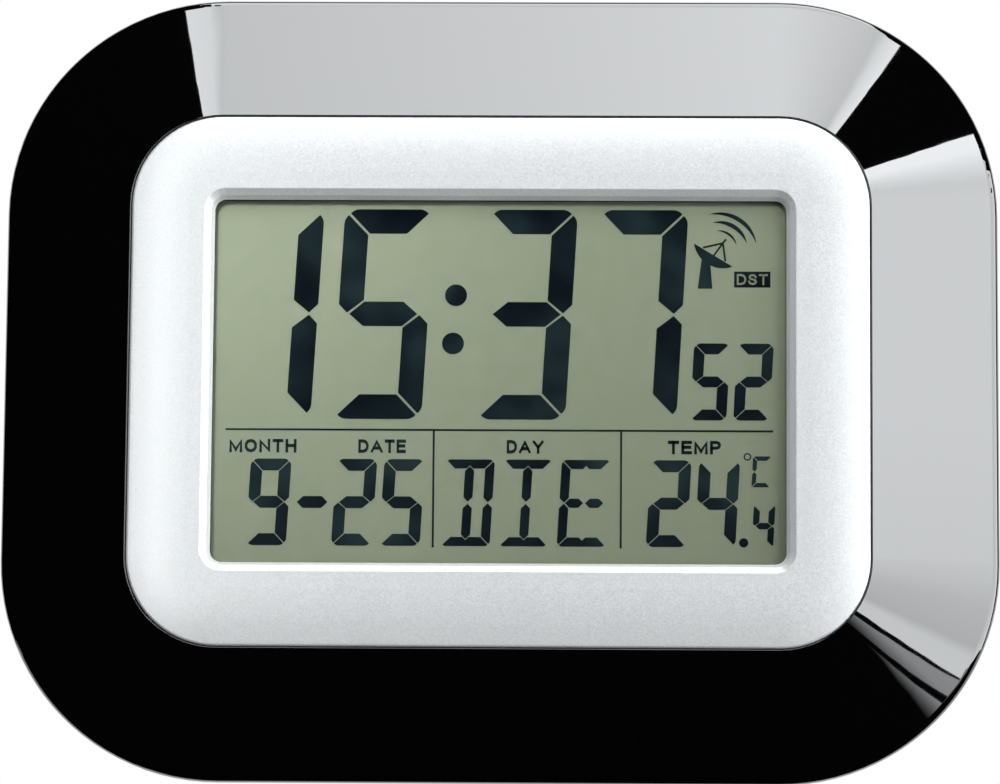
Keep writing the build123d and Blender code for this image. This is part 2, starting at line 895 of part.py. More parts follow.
def make_board_screws():
    """Screws from the board into the display holder's posts."""
    length = holder_front - holder_plate / 4 - small_screw_tip_gap - board_back
    return group([
        screw(x, height, board_back, small_screw_head_radius, small_screw_head, small_screw_radius, length)
        for x, height in board_screw_places()
    ])


def make_zebra_strip():
    """Rubber connector between the glass ledge and the board."""
    strip = Pos(board_center_x, zebra_height) * Rectangle(zebra_length, zebra_thickness)
    return slab(strip, board_front, liquid_front)


def make_main_board():
    """Circuit board with its screw holes."""
    outline = RectangleRounded(board_width, board_height, board_corner_radius)
    board = slab(Pos(board_center_x, board_center_height) * outline, board_back, board_front)
    hole_radius = small_screw_radius + screw_hole_gap
    for x, height in board_screw_places():
        board -= post(x, height, hole_radius, board_back - overrun, board_front + overrun)
    return board


def make_board_parts():
    """Parts soldered to the back of the board, at its right-hand end."""
    right_x = board_center_x + board_width / 2
    bottom = board_center_height - board_height / 2
    chip_x = right_x - part_margin - chip_size
    chip = slab(
        Pos(chip_x, board_center_height + part_margin) * Rectangle(chip_size, chip_size),
        board_back - chip_height,
        board_back,
    )
    chip = fillet(chip.edges().group_by(Axis.Y)[-1], chip_round)
    crystal_height = bottom + part_margin + crystal_radius
    crystal_left = chip_x - chip_size - crystal_length
    crystal = rod(
        crystal_left,
        crystal_left + crystal_length,
        crystal_height,
        board_back - crystal_radius - fit_gap,
        crystal_radius,
    )
    can_x = chip_x - chip_size
    can_height = bottom + part_margin + crystal_radius + crystal_radius + capacitor_radius + part_margin
    can = post(can_x, can_height, capacitor_radius, board_back - capacitor_height, board_back)
    can = fillet(can.edges().group_by(Axis.Y)[-1], chip_round)
    module_rise = (board_height - module_height) / 2 - part_margin
    module_place = Pos(board_center_x, board_center_height + module_rise)
    module_back = board_back - module_thickness
    module_chip_back = module_back - module_chip_height
    module_chip = module_place * Rectangle(module_chip_size, module_chip_size)
    module = slab(module_place * Rectangle(module_width, module_height), module_back, board_back)
    module += slab(module_chip, module_chip_back, module_back)
    return {
        "controller_chip": chip,
        "clock_crystal": crystal,
        "power_capacitor": can,
        "receiver_module": module,
    }


def make_switch_bodies():
    """Key switch housings on the board, each with a bore for its plunger."""
    housings = []
    for _, x, height in button_places():
        housing = slab(Pos(x, height) * Rectangle(switch_size, switch_size), switch_back, board_back)
        bore_radius = plunger_radius + plunger_gap
        bore = post(x, height, bore_radius, switch_back - overrun, board_back - switch_floor)
        housings.append(housing - bore)
    return group(housings)


def make_plunger(x, height):
    """Plunger of one key switch, with room behind it for its travel."""
    return post(x, height, plunger_radius, plunger_back, board_back - switch_floor - 2 * button_travel)


def make_button(name, x, height):
    """Button cap with a flange that keeps it behind the cover and a stem down to its plunger."""
    radius = button_radius
    cap_back = dish_depth - button_proud
    flange_seat = dish_depth + cover_wall
    if name == "reset":
        radius = reset_radius
        cap_back = reset_recess
        flange_seat = cover_wall
    cap = post(x, height, radius, cap_back, flange_seat)
    cap = fillet(cap.edges().group_by(Axis.Y)[-1], min(button_round, radius / 2))
    flange_end = flange_seat + button_flange_thickness
    cap += post(x, height, radius + button_flange, flange_seat, flange_end)
    return cap + post(x, height, button_stem_radius, flange_end, plunger_back)


def make_antenna():
    """Ferrite rod with its coil, and the two saddles that hold it to the cover."""
    coil_radius = rod_radius + coil_thickness
    coil = rod(rod_center_x - coil_half, rod_center_x + coil_half, rod_center_height, rod_front, coil_radius)
    bore = rod(rod_left_x, rod_right_x, rod_center_height, rod_front, rod_radius + fit_gap)
    half = rod_radius + bracket_wall
    saddles = []
    for x in (rod_left_x + bracket_inset, rod_right_x - bracket_inset):
        saddle = block(
            x - bracket_width / 2,
            x + bracket_width / 2,
            rod_center_height - half,
            rod_center_height + half,
            cover_wall,
            rod_front,
        )
        saddles.append(saddle - bore)
    board_bottom = board_center_height - board_height / 2
    wires = []
    for side in (-1, 1):
        x = rod_center_x + side * antenna_lead_pitch / 2
        start = rod_center_height + coil_radius
        clear = board_back - 2 * lead_bend
        rise = board_bottom - 2 * lead_bend
        wires.append(lead(
            [
                (x, rod_front, start),
                (x, rod_front, (start + rise) / 2),
                (x, clear, rise),
                (x, clear, board_bottom + part_margin),
                (x, board_back, board_bottom + part_margin),
            ],
            antenna_lead_radius,
        ))
    return {
        "ferrite_rod": rod(rod_left_x, rod_right_x, rod_center_height, rod_front, rod_radius),
        "antenna_coil": coil - bore,
        "antenna_brackets": group(saddles),
        "antenna_leads": group(wires),
    }


def make_temperature_sensor():
    """Bead on two wire legs that hang from the board behind the vents."""
    top = board_center_height - board_height / 2 + part_margin
    front = board_back - sensor_back
    bead_height = top - part_margin - sensor_drop
    # The bead is turned so that its seam lies between the legs
    sensor = Pos(vent_center_x, -front, bead_height) * Rot(0, 0, 90) * Sphere(sensor_radius)
    for side in (-1, 1):
        x = vent_center_x + side * sensor_radius / 2
        points = [(x, front, bead_height), (x, front, top), (x, board_back, top)]
        sensor += lead(points, sensor_leg_radius)
    return sensor


def make_rear_cover():
    """Flange that closes the frame, with a tray behind it that lies on the wall."""
    flange_cut = 2 * (shell_wall + cover_gap)
    flange = RectangleRounded(
        case_width - flange_cut, case_height - flange_cut, case_corner_radius - flange_cut / 2
    )
    tray = slab(RectangleRounded(tray_width, tray_height, tray_corner_radius), 0, flange_front)
    tray = fillet(tray.edges().group_by(Axis.Y)[-1], tray_round)
    hollow = RectangleRounded(
        tray_width - 2 * cover_wall, tray_height - 2 * cover_wall, tray_corner_radius - cover_wall
    )
    cover = slab(flange, flange_back, flange_front) + tray
    cover -= slab(hollow, cover_wall, flange_front + overrun)
    cover = add_button_dish(cover)
    cover = add_stand_recess(cover)
    cover = add_battery_bay(cover)
    return cut_cover_holes(cover)


def add_button_dish(cover):
    """Shallow dish round the buttons, so that the caps stay clear of the wall."""
    _, row_x, row_height = button_places()[2]
    middle = Pos(row_x, row_height)
    grow = 2 * cover_wall
    outer = RectangleRounded(dish_width + grow, dish_height + grow, dish_corner_radius + cover_wall)
    inner = RectangleRounded(dish_width, dish_height, dish_corner_radius)
    cover += slab(middle * outer, cover_wall / 2, dish_depth + cover_wall)
    cover -= slab(middle * inner, -overrun, dish_depth)
    for name, x, height in button_places():
        radius = reset_radius if name == "reset" else button_radius
        cover -= post(x, height, radius + button_hole_gap, -overrun, dish_depth + cover_wall + overrun)
    return cover


def add_stand_recess(cover):
    """Recess for the folded stand, with cheeks that hold its hinge pin."""
    half = stand_recess_half
    top = stand_hinge_height + barrel_radius + barrel_gap
    inner_bottom = cover_wall / 2 - tray_height / 2
    floor_front = stand_recess_depth + cover_wall
    start = cover_wall / 2
    outer_half = half + cover_wall
    outer_top = top + cover_wall
    cover += block(-outer_half, outer_half, inner_bottom, outer_top, start, floor_front)
    cheek_bottom = stand_hinge_height - barrel_radius - cover_wall
    cheek_half = half + cheek_wall
    cover += block(-cheek_half, cheek_half, cheek_bottom, outer_top, start, floor_front)
    cover -= block(-half, half, -tray_height / 2 - overrun, top, -overrun, stand_recess_depth)
    pin_half = half + pin_bite
    return cover - rod(-pin_half, pin_half, stand_hinge_height, stand_hinge_front, pin_radius + pin_fit)


def add_battery_bay(cover):
    """Bay for two cells behind a door that slides out past the side of the tray."""
    half = bay_width / 2
    outer = half + bay_wall
    bottom = bay_height - outer
    top = bay_height + outer
    side_x = tray_width / 2
    cover += block(bay_start_x - bay_wall, side_x, bottom, top, door_thickness, bay_floor_front)
    for end in (-1, 1):
        rail_start = bay_height + end * half
        rail_end = bay_height + end * (door_half + door_tongue + rail_width)
        low = min(rail_start, rail_end)
        high = max(rail_start, rail_end)
        rail_left = door_start_x - rail_width
        cover += block(rail_left, bay_end_x, low, high, door_thickness, door_thickness + rail_thickness)
    cover -= block(bay_start_x, bay_end_x, bay_height - half, bay_height + half, -overrun, bay_floor_back)
    slot = door_half + door_gap
    groove = slot + door_tongue
    left = door_start_x - door_gap
    right = side_x + overrun
    tongue_back = door_thickness - door_tongue_thickness - door_gap / 3
    cover -= block(left, right, bay_height - slot, bay_height + slot, -overrun, door_thickness)
    cover -= block(left, right, bay_height - groove, bay_height + groove, tongue_back, door_thickness)
    lip_front = door_lip_depth + door_gap
    cover -= block(bay_end_x - overrun, right, bay_height - slot, bay_height + slot, -overrun, lip_front)
    for end in (-1, 1):
        cover -= tab_block(end, tab_gap)
    return cover


def tab_block(end, gap):
    """Solder tab of the contact at one cell's inner end, grown by a gap where it is cut from the bay wall."""
    height = bay_height + end * cell_offset
    return block(
        bay_start_x - bay_wall - tab_reach,
        bay_start_x + contact_thickness,
        height - tab_width / 2 - gap,
        height + tab_width / 2 + gap,
        cell_axis_front - contact_thickness / 2 - gap,
        cell_axis_front + contact_thickness / 2 + gap,
    )


def cut_cover_holes(cover):
    """Keyhole, vents and screw holes through the cover."""
    through = flange_front + overrun
    slot_radius = keyhole_slot_width / 2
    keyhole = Circle(keyhole_radius) + Pos(0, keyhole_slot_length) * Circle(slot_radius)
    keyhole += Pos(0, keyhole_slot_length / 2) * Rectangle(keyhole_slot_width, keyhole_slot_length)
    cover -= slab(Pos(0, keyhole_height) * keyhole, -overrun, cover_wall + overrun)
    for index in range(vent_count):
        x = vent_center_x + (index - (vent_count - 1) / 2) * vent_pitch
        vent = Pos(x, vent_center_height) * Rot(0, 0, 90) * SlotOverall(vent_length, vent_width)
        cover -= slab(vent, -overrun, cover_wall + overrun)
    for x, height in case_screw_places():
        cover -= post(x, height, case_screw_radius + screw_hole_gap, flange_back - overrun, through)
    return cover


def make_case_screws():
    """Screws that hold the rear cover to the frame."""
    length = flange_thickness + case_screw_bite
    return group([
        screw(x, height, flange_back, case_screw_head_radius, case_screw_head, case_screw_radius, length)
        for x, height in case_screw_places()
    ])


def make_battery_door():
    """Sliding door with tongues along both sides, a lip over the tray's side and grip grooves."""
    side_x = tray_width / 2
    bottom = bay_height - door_half
    top = bay_height + door_half
    plate = block(door_start_x, side_x, bottom, top, 0, door_thickness)
    lip_x = side_x - door_lip_thickness
    door = plate + block(lip_x, side_x, bottom, top, 0, door_lip_depth)
    door = fillet(door.edges().filter_by(Axis.Z).sort_by(Axis.Y)[-2:].sort_by(Axis.X)[-1:], tray_round)
    tongue_back = door_thickness - door_tongue_thickness
    door += block(
        door_start_x, lip_x, bottom - door_tongue, top + door_tongue, tongue_back, door_thickness
    )
    for index in range(grip_count):
        x = side_x - tray_round - grip_inset - index * grip_pitch
        door -= block(
            x - grip_width / 2,
            x + grip_width / 2,
            bay_height - grip_length / 2,
            bay_height + grip_length / 2,
            -overrun,
            grip_depth,
        )
    return door


def make_cell(end, cap_side):
    """AA cell in its half of the bay, with its cap towards one end."""
    height = bay_height + end * cell_offset
    length = cell_length - cell_cap_length
    contact_x = bay_end_x - contact_thickness if cap_side > 0 else bay_start_x + contact_thickness
    shoulder_x = contact_x - cap_side * cell_cap_length
    far_x = shoulder_x - cap_side * length
    body = rod(min(shoulder_x, far_x), max(shoulder_x, far_x), height, cell_axis_front, cell_diameter / 2)
    body = fillet(body.edges().filter_by(GeomType.CIRCLE), cell_round)
    cap_left = min(contact_x, shoulder_x)
    return body + rod(cap_left, cap_left + cell_cap_length, height, cell_axis_front, cell_cap_radius)


def contact_plate(x, height_low, height_high):
    """Flat contact against an end wall of the bay."""
    return block(
        x,
        x + contact_thickness,
        height_low,
        height_high,
        cell_axis_front - contact_half,
        cell_axis_front + contact_half,
    )


def contact_bow(wall_x, inward, height):
    """Bowed leaf that presses on the flat end of a cell."""
    tip = contact_spring + contact_thickness
    root = contact_half - contact_thickness
    shallow = contact_thickness / 2
    outline = [
        (shallow, -root),
        (tip, -contact_nose),
        (tip, contact_nose),
        (shallow, root),
        (shallow, root - 2 * contact_thickness),
        (tip - contact_thickness, contact_nose - shallow),
        (tip - contact_thickness, shallow - contact_nose),
        (shallow, 2 * contact_thickness - root),
    ]
    bow = rounded_face([(wall_x + inward * across, -cell_axis_front + up, 0) for across, up in outline])
    start = Plane.XY.offset(height - contact_spring_width / 2)
    return extrude(start * bow, contact_spring_width, dir=(0, 0, 1))


def make_contacts():
    """Bridge at the bay's outer end, and one contact with a solder tab for each cell at its inner end."""
    upper = bay_height + cell_offset
    lower = bay_height - cell_offset
    bridge = contact_plate(bay_end_x - contact_thickness, lower - contact_half, upper + contact_half)
    bridge += contact_bow(bay_end_x, -1, lower)
    positive = contact_plate(bay_start_x, lower - contact_half, lower + contact_half) + tab_block(-1, 0)
    negative = contact_plate(bay_start_x, upper - contact_half, upper + contact_half) + tab_block(1, 0)
    negative += contact_bow(bay_start_x, 1, upper)
    return {"bridge_contact": bridge, "positive_contact": positive, "negative_contact": negative}


def make_battery_lead(end):
    """Lead from a contact's tab up to the board."""
    height = bay_height + end * cell_offset
    tab_x = bay_start_x - bay_wall - tab_reach
    board_bottom = board_center_height - board_height / 2
    turn_x = tab_x - lead_run
    board_right = board_center_x + board_width / 2
    join_x = min(board_right - 2 * part_margin, turn_x) - (1 - end) * lead_spacing / 2
    join_height = board_bottom + part_margin
    clear = board_back - 2 * lead_bend
    return lead(
        [
            (tab_x, cell_axis_front, height),
            (turn_x, cell_axis_front, height),
            (join_x, clear, board_bottom - 2 * lead_bend),
            (join_x, clear, join_height),
            (join_x, board_back, join_height),
        ],
        lead_radius,
    )


def make_stand_leg():
    """Tapered leg that hangs from its barrel and folds flat into the back of the cover."""
    back = stand_back_gap
    front = back + stand_thickness
    foot = stand_foot_height
    leg_face = rounded_face([
        (-stand_width / 2, stand_hinge_height, 0),
        (stand_width / 2, stand_hinge_height, 0),
        (stand_foot_width / 2, foot, stand_corner_radius),
        (-stand_foot_width / 2, foot, stand_corner_radius),
    ])
    leg = slab(leg_face, back, front)
    leg += rod(-stand_width / 2, stand_width / 2, stand_hinge_height, stand_hinge_front, barrel_radius)
    rib_x = stand_foot_width / 2 - stand_rib_inset
    rib_foot = foot + stand_rib_inset
    rib_top = stand_hinge_height - barrel_radius
    for side in (-1, 1):
        inner_x = side * rib_x - stand_rib_width / 2
        leg += block(inner_x, inner_x + stand_rib_width, rib_foot, rib_top, front, front + stand_rib)
    half = stand_width / 2 + overrun
    return leg - rod(-half, half, stand_hinge_height, stand_hinge_front, pin_radius + pin_running_gap)


def make_stand_hinge_pin():
    """Steel pin between the two cheeks of the recess."""
    half = stand_recess_half + pin_bite
    return rod(-half, half, stand_hinge_height, stand_hinge_front, pin_radius)


def make_stand_foot_pad():
    """Rubber strip on the end of the leg."""
    half = stand_foot_width / 2 - stand_corner_radius
    back = stand_back_gap
    pad = block(-half, half, stand_foot_height - pad_height, stand_foot_height, back, back + stand_thickness)
    return fillet(pad.edges().filter_by(Axis.X).group_by(Axis.Z)[0], pad_height / 3)


pieces = {
    "front_frame": make_front_frame(),
    "silver_bezel": make_silver_bezel(),
    **make_display_stack(),
    "time_segments": make_time_segments(),
    "seconds_segments": make_second_segments(),
    "date_segments": make_date_segments(),
    "weekday_segments": make_weekday_segments(),
    "temperature_segments": make_temperature_segments(),
    "display_symbols": make_display_symbols(),
    "lcd_holder": make_lcd_holder(),
    "holder_screws": make_holder_screws(),
    "board_screws": make_board_screws(),
    "zebra_strip": make_zebra_strip(),
    "main_board": make_main_board(),
    **make_board_parts(),
    "switch_bodies": make_switch_bodies(),
    **make_antenna(),
    "temperature_sensor": make_temperature_sensor(),
    "rear_cover": make_rear_cover(),
    "case_screws": make_case_screws(),
    "battery_door": make_battery_door(),
    "upper_cell": make_cell(1, 1),
    "lower_cell": make_cell(-1, -1),
    **make_contacts(),
    "negative_lead": make_battery_lead(1),
    "positive_lead": make_battery_lead(-1),
    "stand_leg": make_stand_leg(),
    "stand_hinge_pin": make_stand_hinge_pin(),
    "stand_foot_pad": make_stand_foot_pad(),
}
for button_name, button_x, button_height in button_places():
    pieces[button_name + "_button"] = make_button(button_name, button_x, button_height)
    pieces[button_name + "_plunger"] = make_plunger(button_x, button_height)

os.makedirs("parts", exist_ok=True)
for piece_name, piece in pieces.items():
    export_step(Pos(0, 0, -keyhole_height) * piece, f"parts/{piece_name}.step")
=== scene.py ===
import json
import math

import bmesh
import bpy
from mathutils import Matrix, Vector


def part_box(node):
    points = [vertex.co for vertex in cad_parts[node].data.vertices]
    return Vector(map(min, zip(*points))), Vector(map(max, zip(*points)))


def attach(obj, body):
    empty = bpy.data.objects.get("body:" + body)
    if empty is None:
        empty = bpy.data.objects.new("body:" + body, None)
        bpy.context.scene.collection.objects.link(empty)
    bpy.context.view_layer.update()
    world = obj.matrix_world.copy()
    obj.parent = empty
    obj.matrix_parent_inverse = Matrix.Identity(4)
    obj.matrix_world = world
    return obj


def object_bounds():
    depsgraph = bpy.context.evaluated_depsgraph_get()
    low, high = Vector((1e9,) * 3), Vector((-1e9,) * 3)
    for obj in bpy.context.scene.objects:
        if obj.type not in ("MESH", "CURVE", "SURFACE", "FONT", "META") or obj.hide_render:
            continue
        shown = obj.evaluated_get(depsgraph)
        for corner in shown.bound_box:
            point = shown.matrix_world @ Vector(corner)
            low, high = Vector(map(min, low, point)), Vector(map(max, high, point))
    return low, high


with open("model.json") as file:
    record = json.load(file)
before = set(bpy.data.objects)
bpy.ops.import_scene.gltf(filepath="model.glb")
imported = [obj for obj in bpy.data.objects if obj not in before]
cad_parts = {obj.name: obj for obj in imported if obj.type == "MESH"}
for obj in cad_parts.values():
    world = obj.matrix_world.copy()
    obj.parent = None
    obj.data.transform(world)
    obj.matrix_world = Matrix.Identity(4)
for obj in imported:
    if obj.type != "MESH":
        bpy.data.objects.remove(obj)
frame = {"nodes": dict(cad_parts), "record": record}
cad_low, cad_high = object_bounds()

# All lengths are metres in the part's own frame: X to the right, Z up, and the clock faces -Y.
MM = 0.001

# Where the clock's middle lies, and the plane of the lit segments
clock_center = (cad_low + cad_high) / 2
ink_low, ink_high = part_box("time_segments")

# Camera, fitted to the outline: it stands below the clock's middle and a little to the right
image_width_px = 1000
focal_px = 5110
sensor_width_mm = 36.0
camera_distance = 1.343
camera_tilt = math.radians(8.7)
camera_yaw = math.radians(1.5)
camera_roll = math.radians(0.461)
aim_front = 17.7 * MM
aim_drop = 1.4 * MM
view_start = 0.05
view_end = 50.0

# Soft lamps: place from the clock's middle, direction that each faces away from, width and height
top_box = ((0.131, -0.762, 0.931), (-0.016, -0.632, 0.775), (0.908, 0.45))
top_wing = ((0.131, -0.17, 1.22), (0.0, -0.28, 0.96), (0.94, 0.91))
right_box = ((0.793, -0.887, 0.105), (0.661, -0.739, 0.089), (0.36, 0.96))
right_wing = ((1.09, -0.28, 0.105), (0.95, -0.31, 0.0), (1.05, 0.98))
right_fill = ((0.92, -0.42, 0.02), (0.92, -0.42, 0.02), (0.4, 0.6))
lower_strip = ((0.779, -0.922, -0.427), (0.661, -0.739, 0.089), (0.2, 0.06))
lower_patch = ((0.967, -0.76, -0.497), (0.661, -0.739, 0.089), (0.7, 0.15))
strip_roll = math.radians(19)
patch_roll = math.radians(15)
key_lamp = ((-0.18, -0.27, 0.05), (-0.18, -0.27, 0.05), (0.06, 0.36))
gleam = ((-0.03, -0.42, 0.19), (-0.03, -0.42, 0.19), (0.36, 0.1))

# The gleam reaches the display's ground alone, because it would burn out the silver bezel
gleam_nodes = ("lcd_rear_glass", "lcd_reflector")

# Radiance of the lamps, where 1 is white to the eye
box_radiance = 10.0
wing_radiance = 5.0
fill_radiance = 6.8
strip_radiance = 2.6
patch_radiance = 3.1
key_radiance = 9.4
gleam_radiance = 33.0
lamp_color = (0.955, 0.98, 1.0)

# Brightness along a lamp's width or height: share of the length and share of the radiance
top_box_profile = [(0.0, 0.69), (0.1, 0.66), (0.13, 0.52), (0.34, 0.6), (0.48, 0.665), (0.62, 0.62),
                   (0.83, 0.545), (0.896, 0.52), (0.934, 0.67), (1.0, 0.79)]
right_box_profile = [(0.0, 0.58), (0.09, 0.57), (0.14, 0.435), (0.3, 0.475), (0.49, 0.6), (0.55, 0.625),
                     (0.72, 0.625), (0.79, 0.6), (0.85, 0.69), (0.93, 0.87), (1.0, 0.87)]
strip_profile = [(0.0, 0.05), (0.16, 0.12), (0.37, 0.5), (0.58, 0.9), (1.0, 1.0)]
patch_width_profile = [(0.0, 0.0), (0.06, 0.0), (0.17, 0.9), (1.0, 1.0)]
patch_height_profile = [(0.0, 0.0), (0.4, 0.3), (0.9, 0.8), (1.0, 0.9)]
key_profile = [(0.0, 0.75), (0.5, 0.6), (1.0, 0.45)]
gleam_profile = [(0.0, 1.0), (0.2, 1.0), (0.26, 0.0), (0.8, 0.0), (0.86, 0.28), (1.0, 0.28)]

# Room: white for the eye, dim for the light that it sheds. A mirrored ray sees white only where it looks
# behind the clock, which is where its direction has more than the limit's share of +Y.
room_fill = 0.06
room_front_gloss = 0.004
behind_limit = 0.5

# Floor: below the clock, and starting behind the wall plane so that the lower rim doesn't mirror it
floor_drop = 0.45
floor_size = (4.0, 3.4)
floor_start = 0.28
floor_glow = 0.8
floor_color = (0.8, 0.8, 0.8, 1.0)


def set_camera():
    """Camera below the clock's middle, so that the clock's verticals draw together upwards."""
    data = bpy.data.cameras.new("camera")
    data.sensor_fit = "HORIZONTAL"
    data.sensor_width = sensor_width_mm
    data.lens = focal_px * sensor_width_mm / image_width_px
    data.clip_start = view_start
    data.clip_end = view_end
    camera = bpy.data.objects.new("camera", data)
    bpy.context.scene.collection.objects.link(camera)
    middle = Vector((0, cad_high.y - aim_front, clock_center.z))
    level = math.cos(camera_tilt)
    away = Vector((level * math.sin(camera_yaw), -level * math.cos(camera_yaw), -math.sin(camera_tilt)))
    target = middle - Vector((0, 0, aim_drop))
    place = middle + away * camera_distance
    turn = (target - place).to_track_quat("-Z", "Y").to_matrix().to_4x4()
    camera.matrix_world = Matrix.Translation(place) @ turn @ Matrix.Rotation(camera_roll, 4, "Z")
    bpy.context.scene.camera = camera


def math_node(tree, operation, first, second):
    """Math node fed by two sockets or numbers."""
    node = tree.nodes.new("ShaderNodeMath")
    node.operation = operation
    for index, value in enumerate((first, second)):
        if isinstance(value, (int, float)):
            node.inputs[index].default_value = value
        else:
            tree.links.new(value, node.inputs[index])
    return node.outputs["Value"]


def add_lamp(name, lamp, radiance, roll=0.0, mirrored=True, lighting=True, receivers=()):
    """Rectangular soft lamp. It may show in gloss alone, light matte alone, or reach only some nodes."""
    place, facing, (width, height) = lamp
    data = bpy.data.lights.new(name, "AREA")
    data.shape = "RECTANGLE"
    data.size = width
    data.size_y = height
    data.color = lamp_color
    data.energy = radiance * math.pi * width * height
    light = bpy.data.objects.new(name, data)
    bpy.context.scene.collection.objects.link(light)
    turn = Vector(facing).to_track_quat("Z", "Y").to_matrix().to_4x4()
    shift = Matrix.Translation(clock_center + Vector(place))
    light.matrix_world = shift @ turn @ Matrix.Rotation(roll, 4, "Z")
    light.visible_camera = False
    light.visible_glossy = mirrored
    light.visible_diffuse = lighting
    if receivers:
        group = bpy.data.collections.new(name)
        for node_name in receivers:
            group.objects.link(frame["nodes"][node_name])
        light.light_linking.receiver_collection = group
    data.use_nodes = True
    return data.node_tree


def lamp_across(tree, axis):
    """Socket that runs from 0 to 1 across a lamp, along its width (X) or its height (Y)."""
    geometry = tree.nodes.new("ShaderNodeNewGeometry")
    split = tree.nodes.new("ShaderNodeSeparateXYZ")
    tree.links.new(geometry.outputs["Parametric"], split.inputs["Vector"])
    return split.outputs[axis]


def shade_lamp(tree, **profiles):
    """Varies a lamp's brightness along its width (X), its height (Y) or both."""
    strength = 1.0
    for axis, profile in profiles.items():
        stops = [(place, (share, share, share)) for place, share in profile]
        strength = math_node(tree, "MULTIPLY", ramp(tree, lamp_across(tree, axis), stops), strength)
    tree.links.new(strength, tree.nodes["Emission"].inputs["Strength"])


def mirrored_ray(tree, path):
    """Socket that is 1 for a ray that a surface mirrors or lets through."""
    glossy = path.outputs["Is Glossy Ray"]
    return math_node(tree, "MAXIMUM", glossy, path.outputs["Is Transmission Ray"])


def set_world():
    """White to the eye, white behind the clock in reflections, and dim elsewhere."""
    world = bpy.data.worlds.new("room")
    bpy.context.scene.world = world
    world.use_nodes = True
    tree = world.node_tree
    background = tree.nodes["Background"]
    path = tree.nodes.new("ShaderNodeLightPath")
    place = tree.nodes.new("ShaderNodeTexCoord")
    split = tree.nodes.new("ShaderNodeSeparateXYZ")
    tree.links.new(place.outputs["Generated"], split.inputs["Vector"])
    behind = math_node(tree, "GREATER_THAN", split.outputs["Y"], behind_limit)
    mirrored = mirrored_ray(tree, path)
    seen_behind = math_node(tree, "MULTIPLY", mirrored, behind)
    white = math_node(tree, "MAXIMUM", path.outputs["Is Camera Ray"], seen_behind)
    dim = math_node(tree, "MULTIPLY", math_node(tree, "SUBTRACT", 1.0, mirrored), room_fill)
    dim = math_node(tree, "MAXIMUM", dim, room_front_gloss)
    strength = math_node(tree, "MAXIMUM", white, dim)
    tree.links.new(strength, background.inputs["Strength"])
    background.inputs["Color"].default_value = (1.0, 1.0, 1.0, 1.0)


def add_floor():
    """Pale floor below and behind the clock, where the top lamp casts its shadow."""
    width, depth = floor_size
    side = width / 2
    back = floor_start + depth
    height = cad_low.z - floor_drop
    corners = [(-side, floor_start), (side, floor_start), (side, back), (-side, back)]
    mesh = bpy.data.meshes.new("floor")
    mesh.from_pydata([(x, y, height) for x, y in corners], [], [(0, 1, 2, 3)])
    floor = bpy.data.objects.new("floor", mesh)
    bpy.context.scene.collection.objects.link(floor)
    material = bpy.data.materials.new("floor")
    material.use_nodes = True
    tree = material.node_tree
    surface = tree.nodes["Principled BSDF"]
    surface.inputs["Base Color"].default_value = floor_color
    surface.inputs["Roughness"].default_value = 1.0
    surface.inputs["Specular IOR Level"].default_value = 0.0
    path = tree.nodes.new("ShaderNodeLightPath")
    mirrored = mirrored_ray(tree, path)
    seen = math_node(tree, "MAXIMUM", path.outputs["Is Camera Ray"], mirrored)
    surface.inputs["Emission Color"].default_value = (1.0, 1.0, 1.0, 1.0)
    tree.links.new(math_node(tree, "MULTIPLY", seen, floor_glow), surface.inputs["Emission Strength"])
    floor.data.materials.append(material)


# Finishes: the colour of a moulded surface drifts over this many grains of it
drift_grains = 40
roughness_swing = 0.06
lacquer_index = 1.575
lacquer_shades = [(0.3, (0.0006, 0.0006, 0.0006)), (0.7, (0.0009, 0.0009, 0.001))]
silver_shades = [(0.0, (0.69, 0.702, 0.7)), (1.0, (0.79, 0.802, 0.8))]
flake_size = 0.28 * MM
trace_pitch = 6 * MM


def new_material(name):
    """Material with its node tree and its main shader."""
    material = bpy.data.materials.new(name)
    material.use_nodes = True
    return material, material.node_tree, material.node_tree.nodes["Principled BSDF"]


def object_point(tree):
    """Socket with the point in the part's frame."""
    return tree.nodes.new("ShaderNodeTexCoord").outputs["Object"]


def noise(tree, grain, detail=2.0):
    """Noise socket whose blobs are about as wide as the grain."""
    node = tree.nodes.new("ShaderNodeTexNoise")
    node.inputs["Scale"].default_value = 1.0 / grain
    node.inputs["Detail"].default_value = detail
    tree.links.new(object_point(tree), node.inputs["Vector"])
    return node.outputs["Fac"]


def spread(tree, source, low, high, start=0.3, end=0.7):
    """Socket that runs from low to high as the source runs from start to end."""
    node = tree.nodes.new("ShaderNodeMapRange")
    node.inputs["From Min"].default_value = start
    node.inputs["From Max"].default_value = end
    node.inputs["To Min"].default_value = low
    node.inputs["To Max"].default_value = high
    tree.links.new(source, node.inputs["Value"])
    return node.outputs["Result"]


def ramp(tree, source, stops):
    """Colour socket through (place, colour) stops."""
    node = tree.nodes.new("ShaderNodeValToRGB")
    elements = node.color_ramp.elements
    while len(elements) < len(stops):
        elements.new(0.5)
    for element, (place, color) in zip(elements, stops):
        element.position = place
        element.color = (*color, 1.0)
    tree.links.new(source, node.inputs["Fac"])
    return node.outputs["Color"]


def add_bump(tree, shader, height, depth, strength=1.0):
    """Relief of a real depth under a shader."""
    node = tree.nodes.new("ShaderNodeBump")
    node.inputs["Strength"].default_value = strength
    node.inputs["Distance"].default_value = depth
    tree.links.new(height, node.inputs["Height"])
    tree.links.new(node.outputs["Normal"], shader.inputs["Normal"])


def shades(color, swing):
    """A darker and a lighter version of a colour, as two ends of a ramp."""
    return [
        (0.3, tuple(value * (1 - swing) for value in color)),
        (0.7, tuple(min(1.0, value * (1 + swing)) for value in color)),
    ]


